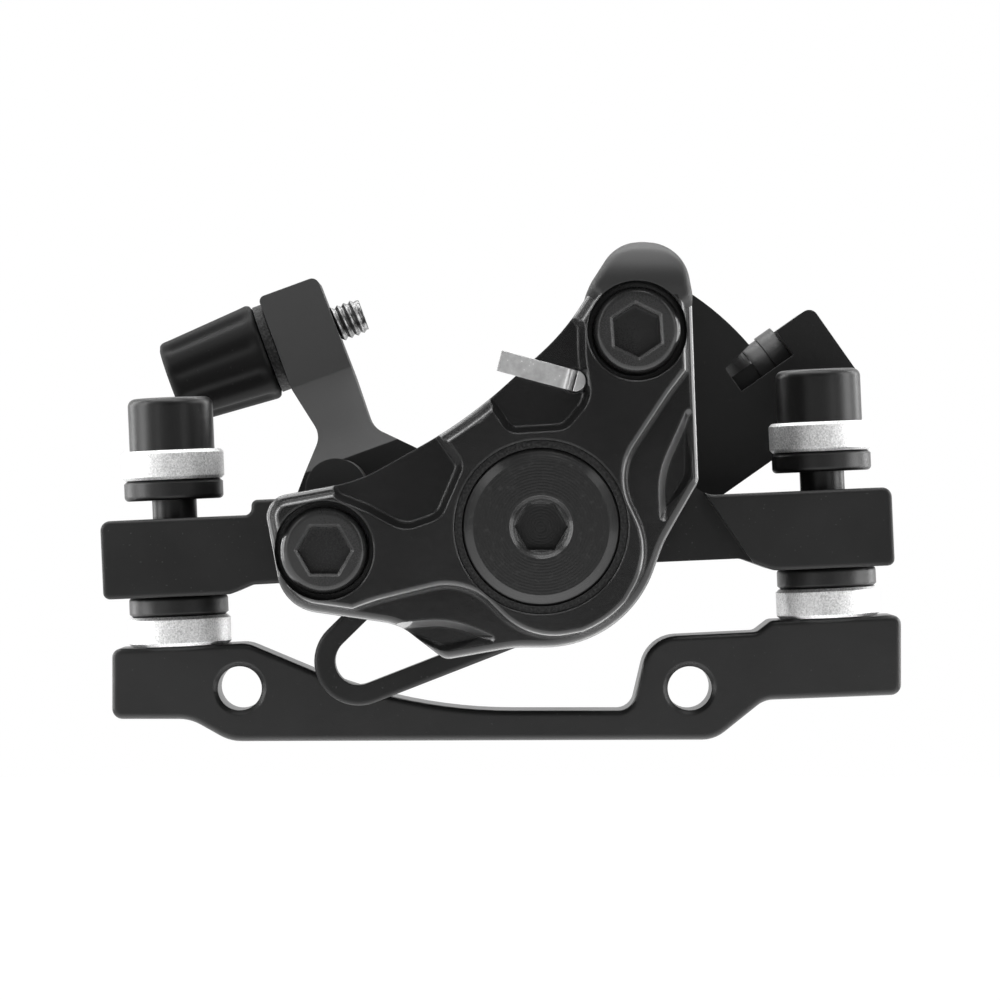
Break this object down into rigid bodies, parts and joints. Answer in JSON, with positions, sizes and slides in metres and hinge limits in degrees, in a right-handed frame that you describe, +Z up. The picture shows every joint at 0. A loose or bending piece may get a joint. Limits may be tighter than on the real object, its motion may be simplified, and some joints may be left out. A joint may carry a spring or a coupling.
{
  "type": "bicycle disc brake caliper",
  "caption": "Cable-pulled disc brake caliper on its frame bracket, with pads, cam, swinging arm and threaded adjusters for cable and pad.",
  "frame": {"origin": "midway between the two frame bolt holes, on the bracket's seat face", "axes": "+Y out of the seat face towards the bicycle's frame and away from the wheel, +Z up the caliper, +X right as seen from the wheel"},
  "size_m": [0.0905, 0.0514, 0.0551],
  "materials": {
    "black_paint": "semi-gloss black paint",
    "arm_paint": "semi-gloss black paint",
    "black_steel": "black oxide with a satin gloss",
    "silver_washer": "zinc, grainy",
    "black_washer": "black, slightly grainy",
    "pad_steel": "plain steel",
    "lining": "dull friction material",
    "spring_steel": "satin",
    "bright_steel": "bright",
    "dark_aluminium": "black anodised, satin",
    "dark_steel": "hardened, dark",
    "bronze": "sintered bronze",
    "seal_rubber": "matt black"
  },
  "bodies": {
    "bracket": {"mount_bracket": "black_paint", "post_bolts": "black_steel", "cup_washers": "silver_washer", "ball_washers": "black_washer"},
    "caliper": {"outer_housing": "black_paint", "inner_housing": "black_paint", "body_bolts": "black_steel", "cam_race": "dark_steel", "cam_balls": "bright_steel", "shaft_bush": "bronze", "shaft_seal": "seal_rubber", "adjuster_seal": "seal_rubber", "split_pin": "bright_steel", "pad_spring": "spring_steel"},
    "piston": {"piston": "dark_aluminium", "outer_pad_plate": "pad_steel", "outer_pad_lining": "lining"},
    "arm": {"cam_spindle": "dark_steel", "actuating_arm": "arm_paint", "arm_bolt": "black_steel", "arm_washer": "silver_washer", "pinch_bolt": "black_steel", "pinch_washer": "black_washer", "pinch_cup": "black_washer", "return_spring": "spring_steel"},
    "inner_pad": {"inner_pad_plate": "pad_steel", "inner_pad_lining": "lining"},
    "adjuster": {"pad_adjuster": "dark_aluminium"},
    "barrel_follower": {"barrel_ring": "seal_rubber"},
    "barrel": {"barrel_adjuster": "dark_aluminium"}
  },
  "joints": [
    {"name": "caliper_slide", "type": "slide", "parent": "bracket", "child": "caliper", "axis": [0, 1, 0], "range_m": [-0.0012, 0.0012]},
    {"name": "piston_slide", "type": "slide", "parent": "caliper", "child": "piston", "axis": [0, -1, 0], "range_m": [0, 0.0016]},
    {"name": "arm_turn", "type": "hinge", "parent": "piston", "child": "arm", "pos_m": [0.00849, 0, 0.01841], "axis": [0, -1, 0], "range_deg": [0, 28], "stiffness_Nm_per_rad": 0.08, "springref_deg": -40.11, "deforming": ["return_spring"]},
    {"name": "inner_pad_slide", "type": "slide", "parent": "caliper", "child": "inner_pad", "axis": [0, 1, 0], "range_m": [0, 0.001], "deforming": ["pad_spring"]},
    {"name": "adjuster_turn", "type": "hinge", "parent": "inner_pad", "child": "adjuster", "pos_m": [0.00849, 0, 0.01841], "axis": [0, 1, 0], "range_deg": [0, 360]},
    {"name": "barrel_slide", "type": "slide", "parent": "caliper", "child": "barrel_follower", "axis": [-0.9391, 0, -0.3437], "range_m": [0, 0.0016]},
    {"name": "barrel_turn", "type": "hinge", "parent": "barrel_follower", "child": "barrel", "pos_m": [-0.03102, 0.0156, 0.03639], "axis": [-0.9391, 0, -0.3437], "range_deg": [0, 720]}
  ],
  "couplings": [
    {"joint": "arm_turn", "follows": "piston_slide", "rad_per_m": 305.43},
    {"joint": "adjuster_turn", "follows": "inner_pad_slide", "rad_per_m": 6283.1},
    {"joint": "barrel_turn", "follows": "barrel_slide", "rad_per_m": 7853.9}
  ]
}
